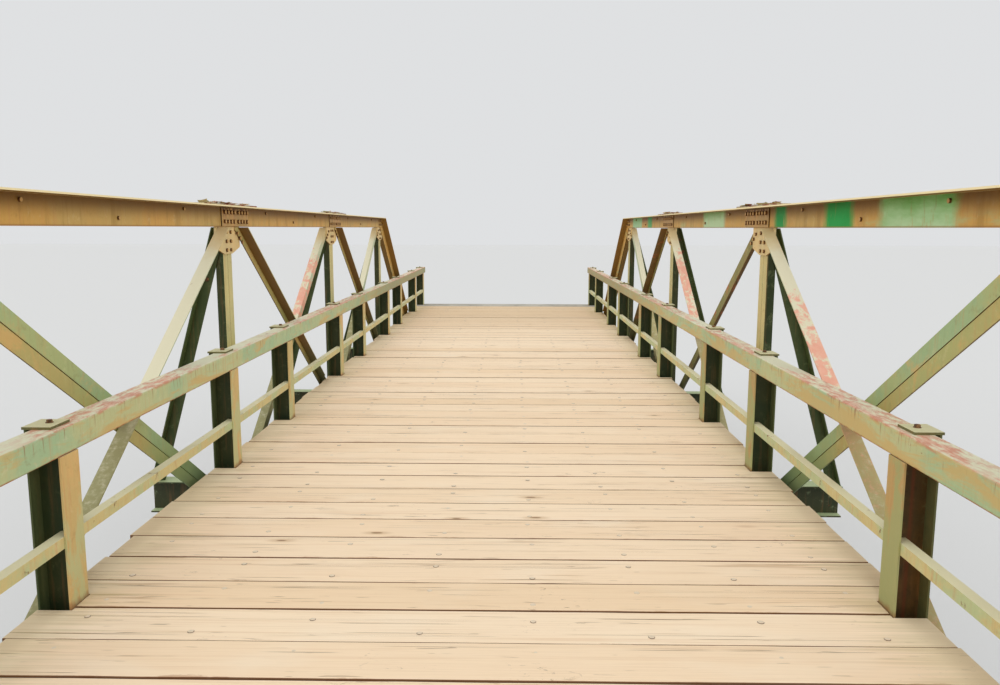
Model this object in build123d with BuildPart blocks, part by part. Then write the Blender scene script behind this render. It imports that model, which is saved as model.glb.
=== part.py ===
"""Footbridge: two bolted steel pony trusses, outriggers, steel railings and a timber deck.

X runs across the walkway, Y along it and Z up. The origin is on the ground under the middle of the
bridge. All sizes are in millimetres. Heights named "over the deck" are measured from the deck's top.
"""

import math
import os

from build123d import *

# Layout
PANEL = 3660
HALF_BAYS = 4
DECK_TOP = 2500
WALKWAY_HALF_WIDTH = 1850
CLEARANCE = 4

# Deck and stringers
DECK_THICKNESS = 76
DECK_OVERRUN = 480
STRINGER_DEPTH = 250
STRINGER_FLANGE = 90
STRINGER_FLANGE_THICKNESS = 9
STRINGER_WEB = 6
STRINGERS = 5
EDGE_CHANNEL_FLANGE = 60

# Floor beams and the brackets outside the trusses
FLOOR_BEAM_DEPTH = 254
FLOOR_BEAM_FLANGE = 150
FLOOR_BEAM_FLANGE_THICKNESS = 12
FLOOR_BEAM_WEB = 8
BRACKET_LENGTH = 690

# Trusses
GUSSET_FROM_WALKWAY = 234
GUSSET = 12
TOP_CHORD_OVER_DECK = 1720
TOP_CHORD_DEPTH = 160
TOP_CHORD_LEG = 102
TOP_CHORD_THICKNESS = 10
TOP_NODE_BELOW_CHORD_TOP = 51
BOTTOM_CHORD_DEPTH = 100
BOTTOM_CHORD_LEG = 90
BOTTOM_CHORD_THICKNESS = 10
BOTTOM_CHORD_OVERHANG = 200
BOTTOM_NODE_BELOW_CHORD_TOP = 30
VERTICAL_LEG = 90
VERTICAL_STEM = 90
VERTICAL_THICKNESS = 9
BACK_TO_BACK_GAP = 6
DOUBLE_LEG = 78
DOUBLE_STEM = 64
DOUBLE_THICKNESS = 8
INNER_BAR_LEG = 64
INNER_BAR_LATERAL = 89
OUTER_BAR_LEG = 89
OUTER_BAR_LATERAL = 76
BAR_THICKNESS = 9
BAR_COPE_OVER_DECK = 40
TOP_SETBACK = 190
BOTTOM_SETBACK = 200
LATERAL_WIDTH = 75
LATERAL_THICKNESS = 8
LATERAL_END_INSET = 76
LATERAL_END_OFFSET = 150

# Gussets and splice plates
TOP_GUSSET_HALF_WIDTH = 267
TOP_GUSSET_CORNER_DROP = 162
TOP_GUSSET_FOOT = 85
TOP_GUSSET_DROP = 211
BOTTOM_GUSSET_HALF_WIDTH = 260
BOTTOM_GUSSET_SHOULDER = 430
BOTTOM_GUSSET_SHOULDER_RISE = 245
BOTTOM_GUSSET_TOP = 150
BOTTOM_GUSSET_OVER_BEAM = 90
SPLICE_LENGTH = 620
SPLICE_OFFSET = 140
SPLICE_THICKNESS = 8
SPLICE_BELOW_CHORD_TOP = 16
TOP_SPLICE_LENGTH = 1040
TOP_SPLICE_OFFSET = 70
TOP_SPLICE_WIDTH = 200
TOP_SPLICE_THICKNESS = 10

# Outriggers
OUTRIGGER_LEG = 89
OUTRIGGER_SIDE_LEG = 64
OUTRIGGER_THICKNESS = 9
OUTRIGGER_TOP_OFFSET = 45
OUTRIGGER_FOOT_INSET = 60

# Railings
POST_DEPTH = 152
POST_FLANGE = 152
POST_FLANGE_THICKNESS = 9
POST_WEB = 6.5
POST_BEFORE_PANEL_POINT = 655
POST_AFTER_PANEL_POINT = 815
RAIL_SIZE = 127
RAIL_WALL = 6
RAIL_CORNER = 12
RAIL_TOP_OVER_DECK = 833
RAIL_OVERRUN = 700
CAP_THICKNESS = 12
CAP_LENGTH = 156
CAP_WIDTH = 130
CAP_INSET = 31
MID_RAIL_SIZE = 54
MID_RAIL_WALL = 4
MID_RAIL_OVER_DECK = 315

# Bearings and abutments
SOLE_PLATE = 300
BED_PLATE = 380
BEARING_PLATE_THICKNESS = 25
ABUTMENT_BEFORE_BEARING = 440
ABUTMENT_BEYOND_TRUSS = 650
LEDGE_BEHIND_BEARING = 240
LEDGE_BEYOND_POSTS = 250
BACKWALL_THICKNESS = 570
BACKWALL_GAP = 5

# Levels and faces that follow from the sizes above
SPAN_HALF = HALF_BAYS * PANEL
DECK_HALF_LENGTH = SPAN_HALF + DECK_OVERRUN
DECK_UNDERSIDE = DECK_TOP - DECK_THICKNESS
STRINGER_SPACING = 2 * WALKWAY_HALF_WIDTH / (STRINGERS + 1)
FLOOR_BEAM_TOP = DECK_UNDERSIDE - STRINGER_DEPTH
BOTTOM_CHORD_TOP = FLOOR_BEAM_TOP - FLOOR_BEAM_DEPTH
BOTTOM_CHORD_BOTTOM = BOTTOM_CHORD_TOP - BOTTOM_CHORD_DEPTH
SEAT_LEVEL = BOTTOM_CHORD_BOTTOM - 2 * BEARING_PLATE_THICKNESS
TOP_CHORD_BOTTOM = DECK_TOP + TOP_CHORD_OVER_DECK
TOP_CHORD_TOP = TOP_CHORD_BOTTOM + TOP_CHORD_DEPTH
TOP_NODE = TOP_CHORD_TOP - TOP_NODE_BELOW_CHORD_TOP
BOTTOM_NODE = BOTTOM_CHORD_TOP - BOTTOM_NODE_BELOW_CHORD_TOP
GUSSET_FACE = WALKWAY_HALF_WIDTH + GUSSET_FROM_WALKWAY
GUSSET_BACK = GUSSET_FACE + GUSSET
BRACKET_END = GUSSET_BACK + BRACKET_LENGTH
RAIL_HALF_LENGTH = DECK_HALF_LENGTH + RAIL_OVERRUN
RAIL_TOP = DECK_TOP + RAIL_TOP_OVER_DECK
RAIL_BOTTOM = RAIL_TOP - RAIL_SIZE
POST_OUTER_FACE = WALKWAY_HALF_WIDTH + POST_DEPTH
BACKWALL_FRONT = DECK_HALF_LENGTH + BACKWALL_GAP
ABUTMENT_BACK = BACKWALL_FRONT + BACKWALL_THICKNESS

SIDES = {"left": -1, "right": 1}
INNER_POINTS = [bay * PANEL for bay in range(1 - HALF_BAYS, HALF_BAYS)]
ALL_POINTS = [bay * PANEL for bay in range(-HALF_BAYS, HALF_BAYS + 1)]
SPLICE_POINTS = [bay * PANEL for bay in range(1, HALF_BAYS - 1)]


def post_places():
    """Distances of the railing posts from the middle, mirrored about it."""
    half = []
    for bay in range(HALF_BAYS + 1):
        if bay > 0:
            half.append(bay * PANEL - POST_BEFORE_PANEL_POINT)
        half.append(bay * PANEL + POST_AFTER_PANEL_POINT)
    return sorted([-y for y in half] + half)


POSTS = post_places()


def block(x_range, y_range, mode=Mode.ADD):
    """A rectangle in the open sketch between two local x and two local y values, in any order."""
    x_low, x_high = sorted(x_range)
    y_low, y_high = sorted(y_range)
    with Locations((x_low, y_low)):
        Rectangle(x_high - x_low, y_high - y_low, align=(Align.MIN, Align.MIN), mode=mode)


def along_y(y_far):
    """A sketch plane across the bridge whose local y is up; it extrudes towards -Y."""
    return Plane(origin=(0, y_far, 0), x_dir=(1, 0, 0), z_dir=(0, -1, 0))


def sloping(far_end, near_end):
    """A sketch plane across a sloping bar in a truss, from its far end towards -Y; local y is up."""
    direction = Vector(0, near_end[0] - far_end[0], near_end[1] - far_end[1])
    return Plane(origin=(0, far_end[0], far_end[1]), x_dir=(1, 0, 0), z_dir=direction.normalized())


def angle_section(face, out, leg, lateral, thickness, lateral_edge):
    """An angle against a face: one leg lies on the face between the two values of leg, the other
    stands off it by lateral in the sense of out, at the edge that lateral_edge gives."""
    inward = 1 if lateral_edge == min(leg) else -1
    block((face, face + out * thickness), leg)
    block((face, face + out * lateral), (lateral_edge, lateral_edge + inward * thickness))


def bar_ends(upper, lower, top_setback, bottom_setback):
    """Ends of a diagonal as (y, z), set back along it from the two panel points."""
    run = Vector(0, lower - upper, BOTTOM_NODE - TOP_NODE)
    unit = run.normalized()
    top = Vector(0, upper, TOP_NODE) + unit * top_setback
    bottom = Vector(0, lower, BOTTOM_NODE) - unit * bottom_setback
    ends = [(top.Y, top.Z), (bottom.Y, bottom.Z)]
    return sorted(ends, reverse=True)


def extrude_bar(profile, ends):
    """Extrude a bar's section from its far end to its near end."""
    extrude(profile, amount=math.dist(*ends))


# Deck: a slab of planks, notched round the railing posts
with BuildPart() as deck:
    with BuildSketch(Plane.XY.offset(DECK_UNDERSIDE)):
        Rectangle(2 * POST_OUTER_FACE, 2 * DECK_HALF_LENGTH)
        for side in SIDES.values():
            for y in POSTS[1:-1]:
                notch = POST_FLANGE / 2 + CLEARANCE
                block((side * (WALKWAY_HALF_WIDTH - CLEARANCE), side * (POST_OUTER_FACE + CLEARANCE)),
                      (y - notch, y + notch), mode=Mode.SUBTRACT)
    extrude(amount=DECK_THICKNESS)

# Stringers under the deck, from one abutment to the other
with BuildPart() as inner_stringers:
    with BuildSketch(along_y(DECK_HALF_LENGTH)):
        for number in range(STRINGERS):
            x = (number - (STRINGERS - 1) / 2) * STRINGER_SPACING
            flange = (x - STRINGER_FLANGE / 2, x + STRINGER_FLANGE / 2)
            block(flange, (FLOOR_BEAM_TOP, FLOOR_BEAM_TOP + STRINGER_FLANGE_THICKNESS))
            block(flange, (DECK_UNDERSIDE - STRINGER_FLANGE_THICKNESS, DECK_UNDERSIDE))
            block((x - STRINGER_WEB / 2, x + STRINGER_WEB / 2), (FLOOR_BEAM_TOP, DECK_UNDERSIDE))
    extrude(amount=2 * DECK_HALF_LENGTH)

# Edge channels, backs outward: the railing posts are bolted to them
with BuildPart() as edge_channels:
    with BuildSketch(along_y(DECK_HALF_LENGTH)):
        for side in SIDES.values():
            back = side * WALKWAY_HALF_WIDTH
            toe = side * (WALKWAY_HALF_WIDTH - EDGE_CHANNEL_FLANGE)
            block((back, back - side * STRINGER_WEB), (FLOOR_BEAM_TOP, DECK_UNDERSIDE))
            block((back, toe), (FLOOR_BEAM_TOP, FLOOR_BEAM_TOP + STRINGER_FLANGE_THICKNESS))
            block((back, toe), (DECK_UNDERSIDE - STRINGER_FLANGE_THICKNESS, DECK_UNDERSIDE))
    extrude(amount=2 * DECK_HALF_LENGTH)


def floor_beam_section(y):
    """The I-section of a floor beam in a sketch plane across X, centred on y."""
    flange = (y - FLOOR_BEAM_FLANGE / 2, y + FLOOR_BEAM_FLANGE / 2)
    block(flange, (BOTTOM_CHORD_TOP, BOTTOM_CHORD_TOP + FLOOR_BEAM_FLANGE_THICKNESS))
    block(flange, (FLOOR_BEAM_TOP - FLOOR_BEAM_FLANGE_THICKNESS, FLOOR_BEAM_TOP))
    block((y - FLOOR_BEAM_WEB / 2, y + FLOOR_BEAM_WEB / 2), (BOTTOM_CHORD_TOP, FLOOR_BEAM_TOP))


# Floor beams at every panel point, standing on the bottom chords between the two trusses
with BuildPart() as floor_beams:
    with BuildSketch(Plane.YZ.offset(-GUSSET_FACE)):
        for y in ALL_POINTS:
            floor_beam_section(y)
    extrude(amount=2 * GUSSET_FACE)


def make_brackets(side):
    """Stubs of the same section outside a truss; the outriggers stand on them."""
    start = GUSSET_BACK if side > 0 else -BRACKET_END
    with BuildPart() as brackets:
        with BuildSketch(Plane.YZ.offset(start)):
            for y in INNER_POINTS:
                floor_beam_section(y)
        extrude(amount=BRACKET_LENGTH)
    return brackets


def lateral_bars(sense, mode=Mode.ADD):
    """Flat bars under the floor, one a bay, from one bottom chord to the other."""
    reach = GUSSET_FACE - LATERAL_END_INSET
    rise = PANEL - 2 * LATERAL_END_OFFSET
    length = math.hypot(2 * reach, rise)
    tilt = math.degrees(math.atan2(rise, 2 * reach)) * sense
    middles = [(0, point + PANEL / 2) for point in ALL_POINTS[:-1]]
    with BuildSketch(Plane.XY.offset(BOTTOM_CHORD_TOP - BOTTOM_CHORD_THICKNESS)) as flats:
        with Locations(*middles):
            Rectangle(length, LATERAL_WIDTH, rotation=tilt)
    extrude(flats.sketch, amount=-LATERAL_THICKNESS, mode=mode)


with BuildPart() as through_laterals:
    lateral_bars(1)

# The crossing bars are in two halves, each welded to the edge of the through bar
with BuildPart() as half_laterals:
    lateral_bars(-1)
    lateral_bars(1, mode=Mode.SUBTRACT)


def make_bottom_chord(side):
    """Two angles with the gussets between, lateral legs on top."""
    half_length = SPAN_HALF + BOTTOM_CHORD_OVERHANG
    leg = (BOTTOM_CHORD_BOTTOM, BOTTOM_CHORD_TOP)
    with BuildPart() as chord:
        with BuildSketch(along_y(half_length)):
            angle_section(side * GUSSET_FACE, -side, leg, BOTTOM_CHORD_LEG, BOTTOM_CHORD_THICKNESS,
                          BOTTOM_CHORD_TOP)
            angle_section(side * GUSSET_BACK, side, leg, BOTTOM_CHORD_LEG, BOTTOM_CHORD_THICKNESS,
                          BOTTOM_CHORD_TOP)
        extrude(amount=2 * half_length)
    return chord


END_POST_TOP = SPAN_HALF - PANEL
END_POST_SLOPE = math.atan2(TOP_NODE - BOTTOM_NODE, PANEL)


def mitre(end):
    """The plane between the top chord and an end post, at the last upper panel point."""
    half_turn = END_POST_SLOPE / 2
    normal = (0, end * math.cos(half_turn), -math.sin(half_turn))
    return Plane(origin=(0, end * END_POST_TOP, TOP_NODE), x_dir=(1, 0, 0), z_dir=normal)


def chord_pair(side, node_level):
    """The two angles of the top chord or an end post, lateral legs on top."""
    leg = (node_level - TOP_NODE + TOP_CHORD_BOTTOM, node_level - TOP_NODE + TOP_CHORD_TOP)
    for face, out in ((GUSSET_FACE, -side), (GUSSET_BACK, side)):
        angle_section(side * face, out, leg, TOP_CHORD_LEG, TOP_CHORD_THICKNESS, max(leg))


def cut_deck_room():
    """Cope the open part's legs where they pass the deck's edge and the feet of the railing posts."""
    top = DECK_TOP + BAR_COPE_OVER_DECK
    with BuildSketch(Plane.XY.offset(BOTTOM_CHORD_TOP)) as room:
        Rectangle(2 * (POST_OUTER_FACE + CLEARANCE), 2 * DECK_HALF_LENGTH)
    extrude(room.sketch, amount=top - BOTTOM_CHORD_TOP, mode=Mode.SUBTRACT)


def make_top_chord(side):
    """The level part of the top chord, mitred to the end posts."""
    half_length = END_POST_TOP + TOP_CHORD_DEPTH
    with BuildPart() as chord:
        with BuildSketch(along_y(half_length)):
            chord_pair(side, TOP_NODE)
        extrude(amount=2 * half_length)
        for end in (-1, 1):
            split(bisect_by=mitre(end), keep=Keep.BOTTOM)
    return chord


def make_end_posts(side):
    """The inclined end posts, of the top chord's section, standing on the bottom chord."""
    top = (END_POST_TOP - PANEL * TOP_CHORD_DEPTH / (TOP_NODE - BOTTOM_NODE), TOP_NODE + TOP_CHORD_DEPTH)
    foot = (SPAN_HALF + PANEL * TOP_CHORD_DEPTH / (TOP_NODE - BOTTOM_NODE), BOTTOM_NODE - TOP_CHORD_DEPTH)
    with BuildPart() as posts:
        for end in (-1, 1):
            ends = sorted([(end * top[0], top[1]), (end * foot[0], foot[1])], reverse=True)
            with BuildSketch(sloping(*ends)) as profile:
                chord_pair(side, 0)
            extrude_bar(profile.sketch, ends)
        split(bisect_by=Plane.XY.offset(BOTTOM_CHORD_TOP), keep=Keep.TOP)
        beside_beam = SPAN_HALF - FLOOR_BEAM_FLANGE / 2 - CLEARANCE
        split(bisect_by=Plane.XZ.offset(beside_beam), keep=Keep.BOTTOM)
        split(bisect_by=Plane.XZ.offset(-beside_beam), keep=Keep.TOP)
        for end in (-1, 1):
            with BuildSketch(mitre(end)) as beyond:
                Rectangle(4 * GUSSET_BACK, 4 * TOP_CHORD_DEPTH)
            extrude(beyond.sketch, amount=-2 * TOP_CHORD_DEPTH, mode=Mode.SUBTRACT)
        cut_deck_room()
    return posts


def vertical_leg_top(y):
    """The upper end of a vertical's flange, lower beside the end posts."""
    if abs(y) < END_POST_TOP:
        return TOP_CHORD_BOTTOM
    edge_drop = (BACK_TO_BACK_GAP / 2 + VERTICAL_LEG) * math.tan(END_POST_SLOPE)
    depth_drop = (TOP_NODE - TOP_CHORD_BOTTOM) / math.cos(END_POST_SLOPE)
    return TOP_NODE - depth_drop - edge_drop - CLEARANCE


def make_verticals(side):
    """Two angles back to back behind each gusset; their stems run on beside the chord."""
    gap = BACK_TO_BACK_GAP / 2
    stem_top = TOP_CHORD_TOP - TOP_CHORD_THICKNESS
    stem_start = GUSSET_BACK + TOP_CHORD_THICKNESS
    with BuildPart() as verticals:
        for y in INNER_POINTS:
            flange = (side * GUSSET_BACK, side * (GUSSET_BACK + VERTICAL_THICKNESS))
            stem = (side * GUSSET_BACK, side * (GUSSET_BACK + VERTICAL_STEM))
            free_stem = (side * stem_start, stem[1])
            for half in (-1, 1):
                near = y + half * gap
                across_stem = (near, near + half * VERTICAL_THICKNESS)
                with BuildSketch(Plane.XY.offset(FLOOR_BEAM_TOP)) as whole:
                    block(flange, (near, near + half * VERTICAL_LEG))
                    block(stem, across_stem)
                extrude(whole.sketch, amount=vertical_leg_top(y) - FLOOR_BEAM_TOP)
                with BuildSketch(Plane.XY.offset(vertical_leg_top(y))) as upper:
                    block(free_stem, across_stem)
                extrude(upper.sketch, amount=stem_top - vertical_leg_top(y))
    return verticals


def trim_to_chords():
    """Cut the open part's bars level just under the top chord."""
    split(bisect_by=Plane.XY.offset(TOP_CHORD_BOTTOM - CLEARANCE), keep=Keep.BOTTOM)


def make_double_diagonals(side):
    """Two angles with stems back to back, from the middle panel point down to its neighbours."""
    gap = BACK_TO_BACK_GAP / 2
    with BuildPart() as diagonals:
        for end in (-1, 1):
            ends = bar_ends(0, end * PANEL, TOP_SETBACK, BOTTOM_SETBACK)
            with BuildSketch(sloping(*ends)) as profile:
                for half in (-1, 1):
                    angle_section(side * GUSSET_BACK, side, (half * gap, half * (gap + DOUBLE_LEG)),
                                  DOUBLE_STEM, DOUBLE_THICKNESS, half * gap)
            extrude_bar(profile.sketch, ends)
        trim_to_chords()
    return diagonals


def single_diagonal(side, upper, lower, inside):
    """One angle of a bay's X, lateral leg at its upper edge. On the deck side of the gussets the short
    leg lies on them, behind them the long one does."""
    face = side * (GUSSET_FACE if inside else GUSSET_BACK)
    out = -side if inside else side
    leg = INNER_BAR_LEG if inside else OUTER_BAR_LEG
    lateral = INNER_BAR_LATERAL if inside else OUTER_BAR_LATERAL
    ends = bar_ends(upper, lower, TOP_SETBACK, BOTTOM_SETBACK)
    with BuildSketch(sloping(*ends)) as profile:
        angle_section(face, out, (-leg / 2, leg / 2), lateral, BAR_THICKNESS, leg / 2)
    extrude_bar(profile.sketch, ends)


def make_falling_diagonals(side):
    """Bars that fall away from the middle."""
    with BuildPart() as diagonals:
        for end in (-1, 1):
            for bay in range(1, HALF_BAYS - 1):
                inside = side < 0 or bay > 1
                single_diagonal(side, end * bay * PANEL, end * (bay + 1) * PANEL, inside)
        trim_to_chords()
        cut_deck_room()
    return diagonals


def make_rising_diagonals(side):
    """Bars that rise away from the middle."""
    with BuildPart() as diagonals:
        for end in (-1, 1):
            for bay in range(HALF_BAYS - 1):
                falling_inside = side < 0 or bay > 1
                inside = bay == 0 or not falling_inside
                single_diagonal(side, end * (bay + 1) * PANEL, end * bay * PANEL, inside)
        trim_to_chords()
        cut_deck_room()
    return diagonals


def plate_start(side):
    """The lower X of the gusset plates of a side."""
    return GUSSET_FACE if side > 0 else -GUSSET_BACK


def make_top_gussets(side):
    """Plates between the chord's angles, hanging below it, with cut lower corners."""
    corner = TOP_CHORD_BOTTOM - TOP_GUSSET_CORNER_DROP
    foot = TOP_CHORD_BOTTOM - TOP_GUSSET_DROP
    corner_run = TOP_GUSSET_HALF_WIDTH * (TOP_NODE - BOTTOM_NODE) / PANEL
    with BuildPart() as gussets:
        with BuildSketch(Plane.YZ.offset(plate_start(side))):
            for y in INNER_POINTS:
                rim = []
                for half in (-1, 1):
                    at_end_post = abs(y) == END_POST_TOP and half * y > 0
                    top = TOP_NODE - corner_run if at_end_post else TOP_NODE
                    rim.append([(y + half * TOP_GUSSET_HALF_WIDTH, top),
                                (y + half * TOP_GUSSET_HALF_WIDTH, corner),
                                (y + half * TOP_GUSSET_FOOT, foot)])
                with BuildLine():
                    Polyline(*rim[0], *reversed(rim[1]), (y, TOP_NODE), close=True)
                make_face()
        extrude(amount=GUSSET)
    return gussets


def make_bottom_gussets(side):
    """Plates between the bottom chord's angles; the floor beams and brackets end on their faces."""
    shoulder = BOTTOM_CHORD_BOTTOM + BOTTOM_GUSSET_SHOULDER_RISE
    top = FLOOR_BEAM_TOP + BOTTOM_GUSSET_OVER_BEAM
    with BuildPart() as gussets:
        with BuildSketch(Plane.YZ.offset(plate_start(side))):
            for y in ALL_POINTS:
                rim = []
                for half in (-1, 1):
                    if abs(y) == SPAN_HALF and half * y > 0:
                        rim.append([(y + half * BOTTOM_CHORD_OVERHANG, BOTTOM_CHORD_BOTTOM),
                                    (y + half * BOTTOM_CHORD_OVERHANG, BOTTOM_CHORD_TOP),
                                    (y, BOTTOM_CHORD_TOP)])
                    else:
                        rim.append([(y + half * BOTTOM_GUSSET_HALF_WIDTH, BOTTOM_CHORD_BOTTOM),
                                    (y + half * BOTTOM_GUSSET_SHOULDER, shoulder),
                                    (y + half * BOTTOM_GUSSET_TOP, top)])
                with BuildLine():
                    Polyline(*rim[0], *reversed(rim[1]), close=True)
                make_face()
        extrude(amount=GUSSET)
    return gussets


def make_splices(side):
    """Plates on the deck-side face of the top chord, just beyond the inner panel points."""
    middle = side * (GUSSET_FACE - TOP_CHORD_THICKNESS - SPLICE_THICKNESS / 2)
    low = TOP_CHORD_BOTTOM + CLEARANCE
    with BuildPart() as splices:
        with BuildSketch(Plane.XY.offset(low)):
            for y in SPLICE_POINTS:
                for end in (-1, 1):
                    with Locations((middle, end * (y + SPLICE_OFFSET))):
                        Rectangle(SPLICE_THICKNESS, SPLICE_LENGTH)
        extrude(amount=TOP_CHORD_TOP - SPLICE_BELOW_CHORD_TOP - low)
    return splices


def make_top_splices(side):
    """Plates across the top of the top chord at the splices."""
    middle = side * (GUSSET_FACE + GUSSET / 2)
    with BuildPart() as plates:
        with BuildSketch(Plane.XY.offset(TOP_CHORD_TOP)):
            for y in SPLICE_POINTS:
                for end in (-1, 1):
                    with Locations((middle, end * (y - TOP_SPLICE_OFFSET))):
                        Rectangle(TOP_SPLICE_WIDTH, TOP_SPLICE_LENGTH)
        extrude(amount=TOP_SPLICE_THICKNESS)
    return plates


def make_outriggers(side):
    """Slanting angles from the bracket's end up to the vertical's stem, just under the top chord. Where
    they come near the vertical's flange, they are cut to clear it."""
    top_x = GUSSET_BACK + OUTRIGGER_TOP_OFFSET
    foot_x = BRACKET_END - OUTRIGGER_FOOT_INSET
    stem_face = BACK_TO_BACK_GAP / 2 + VERTICAL_THICKNESS
    run = Vector(side * (top_x - foot_x), 0, TOP_CHORD_BOTTOM - FLOOR_BEAM_TOP)
    start = Vector(side * foot_x, 0, FLOOR_BEAM_TOP) - run.normalized() * OUTRIGGER_LEG
    with BuildPart() as outriggers:
        for y in INNER_POINTS:
            out = 1 if y < 0 else -1
            plane = Plane(origin=(start.X, y, start.Z), x_dir=(0, 1, 0), z_dir=run.normalized())
            outer = OUTRIGGER_LEG / 2 * (1 if plane.y_dir.X * side > 0 else -1)
            with BuildSketch(plane) as profile:
                face = out * stem_face
                block((face, face + out * OUTRIGGER_THICKNESS), (-outer, outer))
                block((face, face + out * OUTRIGGER_SIDE_LEG),
                      (outer, outer - math.copysign(OUTRIGGER_THICKNESS, outer)))
            extrude(profile.sketch, amount=run.length + 2 * OUTRIGGER_LEG)
        split(bisect_by=Plane.XY.offset(FLOOR_BEAM_TOP), keep=Keep.TOP)
        split(bisect_by=Plane.XY.offset(TOP_CHORD_BOTTOM - CLEARANCE), keep=Keep.BOTTOM)
        beside_flange = side * (GUSSET_BACK + VERTICAL_THICKNESS + CLEARANCE)
        split(bisect_by=Plane.YZ.offset(beside_flange), keep=Keep.TOP if side > 0 else Keep.BOTTOM)
    return outriggers


def make_rail_posts(side):
    """I-section posts, web across the walkway; only the outer flange runs up beside the rail."""
    inner = (side * WALKWAY_HALF_WIDTH, side * (WALKWAY_HALF_WIDTH + POST_FLANGE_THICKNESS))
    outer = (side * (POST_OUTER_FACE - POST_FLANGE_THICKNESS), side * POST_OUTER_FACE)
    with BuildPart() as posts:
        for places, foot in ((POSTS[1:-1], FLOOR_BEAM_TOP), ((POSTS[0], POSTS[-1]), DECK_TOP)):
            with BuildSketch(Plane.XY.offset(foot)):
                for y in places:
                    block(inner, (y - POST_FLANGE / 2, y + POST_FLANGE / 2))
                    block((inner[1], outer[0]), (y - POST_WEB / 2, y + POST_WEB / 2))
                    block(outer, (y - POST_FLANGE / 2, y + POST_FLANGE / 2))
            extrude(amount=RAIL_BOTTOM - foot)
        with BuildSketch(Plane.XY.offset(RAIL_BOTTOM)):
            for y in POSTS:
                block(outer, (y - POST_FLANGE / 2, y + POST_FLANGE / 2))
        extrude(amount=RAIL_SIZE)
    return posts


def make_caps(side):
    """Square plates that join the rail's top to the outer flange of each post."""
    start = side * (WALKWAY_HALF_WIDTH + CAP_INSET)
    with BuildPart() as caps:
        with BuildSketch(Plane.XY.offset(RAIL_TOP)):
            for y in POSTS:
                block((start, start + side * CAP_WIDTH), (y - CAP_LENGTH / 2, y + CAP_LENGTH / 2))
        extrude(amount=CAP_THICKNESS)
    return caps


# Top rails: one square tube a side
with BuildPart() as top_rails:
    with BuildSketch(along_y(RAIL_HALF_LENGTH)):
        for side in SIDES.values():
            with Locations((side * (WALKWAY_HALF_WIDTH + RAIL_SIZE / 2), RAIL_TOP - RAIL_SIZE / 2)):
                RectangleRounded(RAIL_SIZE, RAIL_SIZE, RAIL_CORNER)
                inner = RAIL_SIZE - 2 * RAIL_WALL
                RectangleRounded(inner, inner, RAIL_CORNER - RAIL_WALL, mode=Mode.SUBTRACT)
    extrude(amount=2 * RAIL_HALF_LENGTH)


def make_mid_rails(side):
    """Small square tubes between the posts' webs, behind their inner flanges."""
    middle = side * (WALKWAY_HALF_WIDTH + POST_FLANGE_THICKNESS + MID_RAIL_SIZE / 2)
    with BuildPart() as rails:
        for near, far in zip(POSTS, POSTS[1:]):
            with BuildSketch(along_y(far - POST_WEB / 2)) as profile:
                with Locations((middle, DECK_TOP + MID_RAIL_OVER_DECK)):
                    Rectangle(MID_RAIL_SIZE, MID_RAIL_SIZE)
                    inner = MID_RAIL_SIZE - 2 * MID_RAIL_WALL
                    Rectangle(inner, inner, mode=Mode.SUBTRACT)
            extrude(profile.sketch, amount=far - near - POST_WEB)
    return rails


# Bearings: a sole plate on a bed plate under each end of each truss
with BuildPart() as bearings:
    corners = [(side * (GUSSET_FACE + GUSSET / 2), end * SPAN_HALF) for side in (-1, 1) for end in (-1, 1)]
    for level, size in ((SEAT_LEVEL, BED_PLATE), (SEAT_LEVEL + BEARING_PLATE_THICKNESS, SOLE_PLATE)):
        with BuildSketch(Plane.XY.offset(level)):
            with Locations(*corners):
                Rectangle(size, size)
        extrude(amount=BEARING_PLATE_THICKNESS)


def make_abutment(end):
    """A plain concrete abutment: bearing seat, ledge under the stringers, backwall level with the deck."""
    seat = (SPAN_HALF - ABUTMENT_BEFORE_BEARING, 0, SEAT_LEVEL, GUSSET_BACK + ABUTMENT_BEYOND_TRUSS)
    ledge = (SPAN_HALF + LEDGE_BEHIND_BEARING, SEAT_LEVEL, FLOOR_BEAM_TOP,
             POST_OUTER_FACE + LEDGE_BEYOND_POSTS)
    backwall = (BACKWALL_FRONT, FLOOR_BEAM_TOP, DECK_TOP, POST_OUTER_FACE)
    with BuildPart() as abutment:
        for front, low, high, half_width in (seat, ledge, backwall):
            with BuildSketch(Plane.XY.offset(low)):
                block((-half_width, half_width), (end * front, end * ABUTMENT_BACK))
            extrude(amount=high - low)
    return abutment


os.makedirs("parts", exist_ok=True)

pieces = {
    "deck": deck,
    "inner_stringers": inner_stringers,
    "edge_channels": edge_channels,
    "floor_beams": floor_beams,
    "through_laterals": through_laterals,
    "half_laterals": half_laterals,
    "top_rails": top_rails,
    "bearing_plates": bearings,
    "near_abutment": make_abutment(-1),
    "far_abutment": make_abutment(1),
}
side_pieces = {
    "floor_brackets": make_brackets,
    "bottom_chord": make_bottom_chord,
    "top_chord": make_top_chord,
    "end_posts": make_end_posts,
    "verticals": make_verticals,
    "double_diagonals": make_double_diagonals,
    "falling_diagonals": make_falling_diagonals,
    "rising_diagonals": make_rising_diagonals,
    "top_gussets": make_top_gussets,
    "bottom_gussets": make_bottom_gussets,
    "chord_splices": make_splices,
    "chord_top_plates": make_top_splices,
    "outriggers": make_outriggers,
    "rail_posts": make_rail_posts,
    "post_caps": make_caps,
    "mid_rails": make_mid_rails,
}
for side_name, side in SIDES.items():
    for kind, make in side_pieces.items():
        pieces[side_name + "_" + kind] = make(side)

for name, piece in pieces.items():
    piece.part.label = name
    export_step(piece.part, "parts/" + name + ".step")
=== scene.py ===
"""Footbridge with a plank deck between two bolted steel pony trusses: the looks, built round the CAD frame.

X runs across the walkway, Y along it and Z up, in metres. The photograph's view looks along +Y.
"""

import math
import random

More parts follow.
